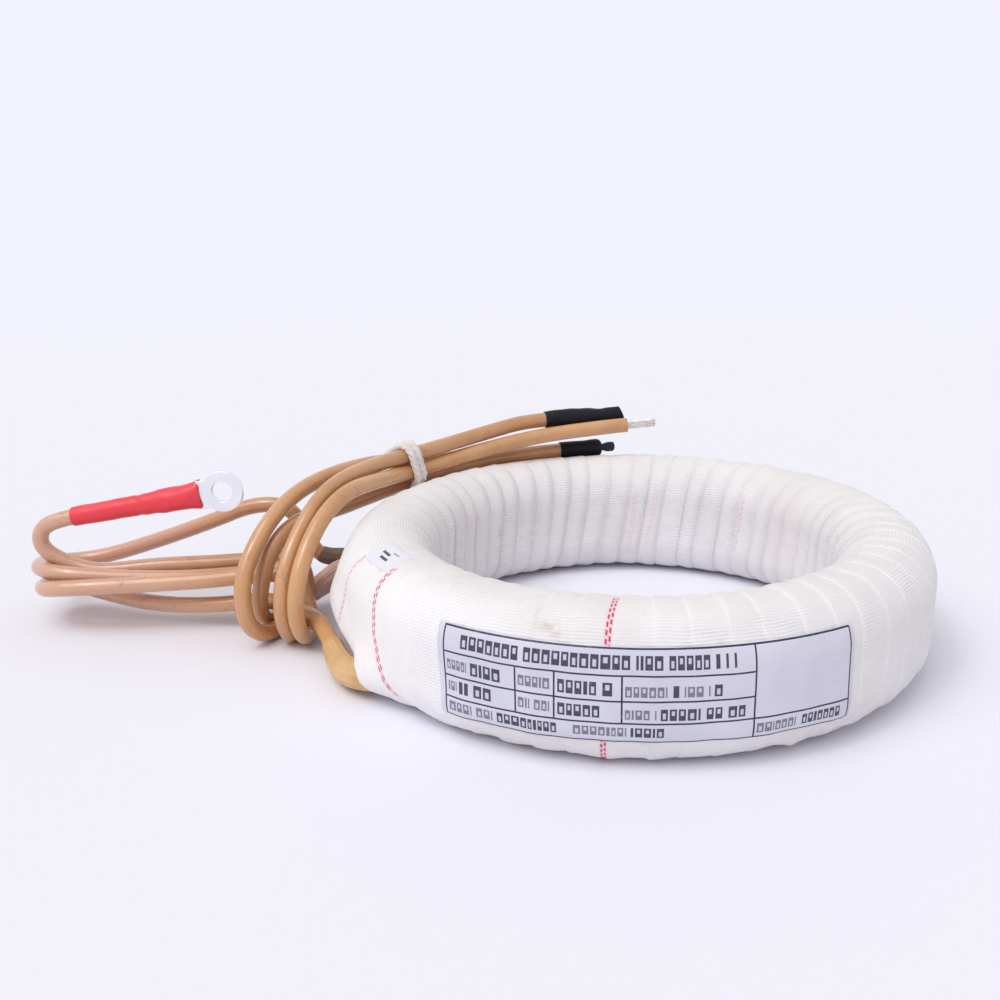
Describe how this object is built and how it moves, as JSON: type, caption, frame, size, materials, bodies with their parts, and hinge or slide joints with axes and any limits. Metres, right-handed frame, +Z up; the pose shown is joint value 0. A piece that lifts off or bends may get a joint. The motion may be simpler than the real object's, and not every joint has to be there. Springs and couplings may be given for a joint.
{
  "type": "ring current transformer",
  "caption": "A ring-type current transformer wound in white cotton tape, with a paper rating label and four insulated leads looped and tied at its side",
  "frame": {"origin": "centre of the ring, on the surface it rests on", "axes": "+Z up along the ring's own axis; the rating label faces -Y; the leads gather at -X"},
  "size_m": [0.2293, 0.1402, 0.0455],
  "materials": {
    "cotton_tape": "woven white cotton tape, matte",
    "film": "thin clear polyester film",
    "winding_wire": "enamelled copper wire, glossy",
    "inner_tape": "woven insulating tape",
    "cap_plastic": "moulded plastic",
    "core_steel": "wound electrical steel strip",
    "label_paper": "coated paper, slightly bluish, satin",
    "lead_insulation": "brown clear insulation over copper, glossy",
    "exit_sleeving": "varnished woven sleeving",
    "red_shrink": "heat-shrink tubing, satin",
    "black_shrink": "heat-shrink tubing, satin",
    "lug_metal": "tin-plated copper, bright",
    "tinned_copper": "tinned copper strands",
    "tie_cotton": "soft cotton cord"
  },
  "bodies": {
    "root": {"outer_tape": "cotton_tape", "winding_film": "film", "secondary_winding": "winding_wire", "core_wrap": "inner_tape", "top_core_cap": "cap_plastic", "bottom_core_cap": "cap_plastic", "strip_core": "core_steel", "rating_label": "label_paper", "number_sticker": "label_paper", "red_lead": "lead_insulation", "upper_lead": "lead_insulation", "bare_lead": "lead_insulation", "lower_lead": "lead_insulation", "red_exit_sleeve": "exit_sleeving", "upper_exit_sleeve": "exit_sleeving", "bare_exit_sleeve": "exit_sleeving", "lower_exit_sleeve": "exit_sleeving", "red_sleeve": "red_shrink", "red_conductor": "tinned_copper", "red_lug": "lug_metal", "upper_black_sleeve": "black_shrink", "lower_black_sleeve": "black_shrink", "lower_blade": "lug_metal", "bare_conductor": "tinned_copper", "tie_cord": "tie_cotton"}
  },
  "joints": []
}
